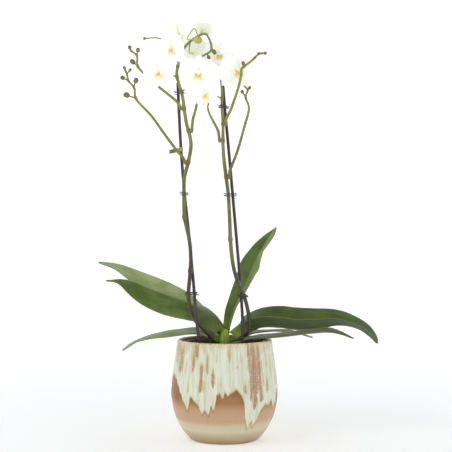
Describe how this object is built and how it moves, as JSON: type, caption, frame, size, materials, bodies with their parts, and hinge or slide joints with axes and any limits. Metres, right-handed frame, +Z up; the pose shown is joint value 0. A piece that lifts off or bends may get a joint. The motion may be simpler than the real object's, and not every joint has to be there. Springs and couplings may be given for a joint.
{
  "type": "potted orchid",
  "caption": "Moth orchid with tall staked flower spikes and arching strap leaves in a round-bellied glazed ceramic cachepot.",
  "frame": {"origin": "centre of the cachepot's flat base, on the surface it stands on", "axes": "+Z up along the pot's axis, -Y towards the side from which the spikes stand in front of the leaves, +X to that viewer's right"},
  "size_m": [0.3995, 0.1833, 0.5819],
  "materials": {
    "glaze": "reactive satin glaze, celadon cream running down over tan",
    "clear_plastic": "thin clear plastic, clouded",
    "bark": "rough chipped bark",
    "root_skin": "silvery matt root skin",
    "leaf": "waxy living leaf, satin",
    "stem": "smooth living stem, satin",
    "stake": "dark stained stake, dull",
    "clip": "moulded plastic, dull",
    "tape": "thin matt tape",
    "petal": "soft velvety petal",
    "lip": "waxy petal, yellow to orange marks"
  },
  "bodies": {
    "root": {"bark_medium": "bark", "ceramic_pot": "glaze", "crown": "stem", "flower_centre_lip": "lip", "flower_centre_low_lip": "lip", "flower_centre_low_petals": "petal", "flower_centre_low_sepals": "petal", "flower_centre_petals": "petal", "flower_centre_sepals": "petal", "flower_left_back_lip": "lip", "flower_left_back_petals": "petal", "flower_left_back_sepals": "petal", "flower_left_front_lip": "lip", "flower_left_front_petals": "petal", "flower_left_front_sepals": "petal", "flower_left_low_lip": "lip", "flower_left_low_petals": "petal", "flower_left_low_sepals": "petal", "flower_middle_back_lip": "lip", "flower_middle_back_petals": "petal", "flower_middle_back_sepals": "petal", "flower_right_back_lip": "lip", "flower_right_back_petals": "petal", "flower_right_back_sepals": "petal", "flower_right_lip": "lip", "flower_right_petals": "petal", "flower_right_sepals": "petal", "flower_top_lip": "lip", "flower_top_petals": "petal", "flower_top_sepals": "petal", "leaf_left_back": "leaf", "leaf_left_low": "leaf", "leaf_left_upper": "leaf", "leaf_right_back": "leaf", "leaf_right_low": "leaf", "leaf_right_upper": "leaf", "leaf_right_upright": "leaf", "left_branch_low": "stem", "left_branch_middle": "stem", "left_branch_right": "stem", "left_clip_high": "clip", "left_clip_low": "clip", "left_clip_middle": "clip", "left_spike": "stem", "left_stake": "stake", "nursery_pot": "clear_plastic", "right_branch_left": "stem", "right_branch_lower": "stem", "right_branch_upper": "stem", "right_clip_high": "clip", "right_clip_low": "clip", "right_clip_middle": "clip", "right_spike": "stem", "right_stake": "stake", "root_left": "root_skin", "root_right": "root_skin", "tape_flag": "tape"}
  },
  "joints": []
}
